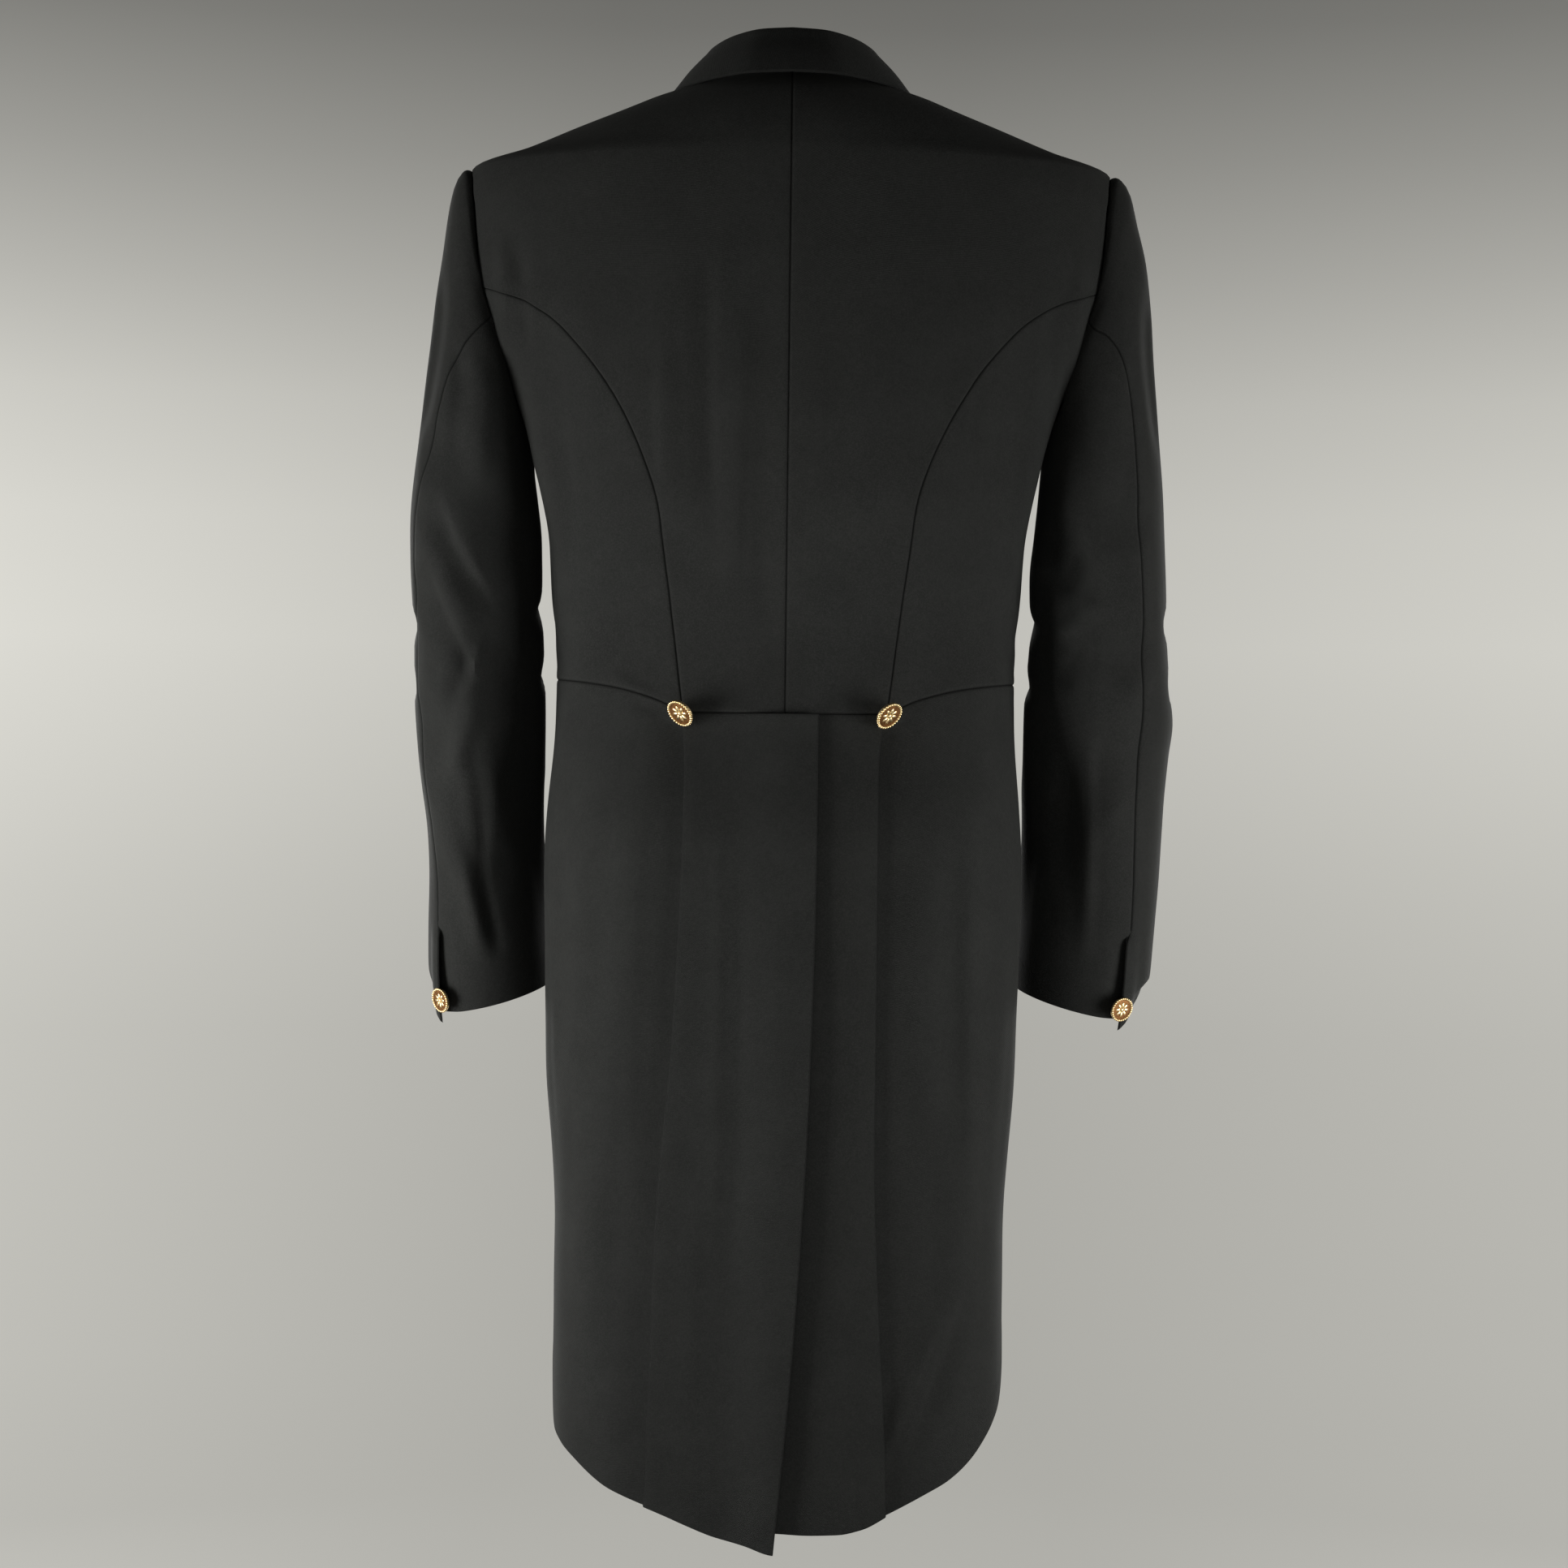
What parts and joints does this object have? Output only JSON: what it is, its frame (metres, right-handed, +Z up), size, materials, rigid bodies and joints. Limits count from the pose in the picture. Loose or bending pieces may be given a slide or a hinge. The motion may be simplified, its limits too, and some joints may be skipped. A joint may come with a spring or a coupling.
{
  "type": "tailcoat",
  "caption": "Black wool tailcoat worn open below the waist, with a turned collar, peaked lapels, curved back seams, lapped tails and gilt shank buttons.",
  "frame": {"origin": "centre of the neck opening at the height of the neck points, where the wearer's neck and shoulders hold the coat", "axes": "+Z up, the front of the coat faces -Y, the wearer's left is +X"},
  "size_m": [0.5661, 0.2504, 1.0909],
  "materials": {
    "black_wool": "fine matt twill",
    "gilt_metal": "polished relief over a dark recess"
  },
  "bodies": {
    "root": {"back_left": "black_wool", "back_right": "black_wool", "side_body_left": "black_wool", "side_body_right": "black_wool", "front_left": "black_wool", "front_right": "black_wool", "lapel_left": "black_wool", "lapel_right": "black_wool", "tail_left": "black_wool", "tail_right": "black_wool", "skirt_left": "black_wool", "skirt_right": "black_wool", "sleeve_top_left": "black_wool", "sleeve_top_right": "black_wool", "sleeve_under_left": "black_wool", "sleeve_under_right": "black_wool", "collar": "black_wool", "hip_button_left": "gilt_metal", "hip_button_right": "gilt_metal", "cuff_button_left": "gilt_metal", "cuff_button_right": "gilt_metal", "front_button": "gilt_metal"}
  },
  "joints": []
}
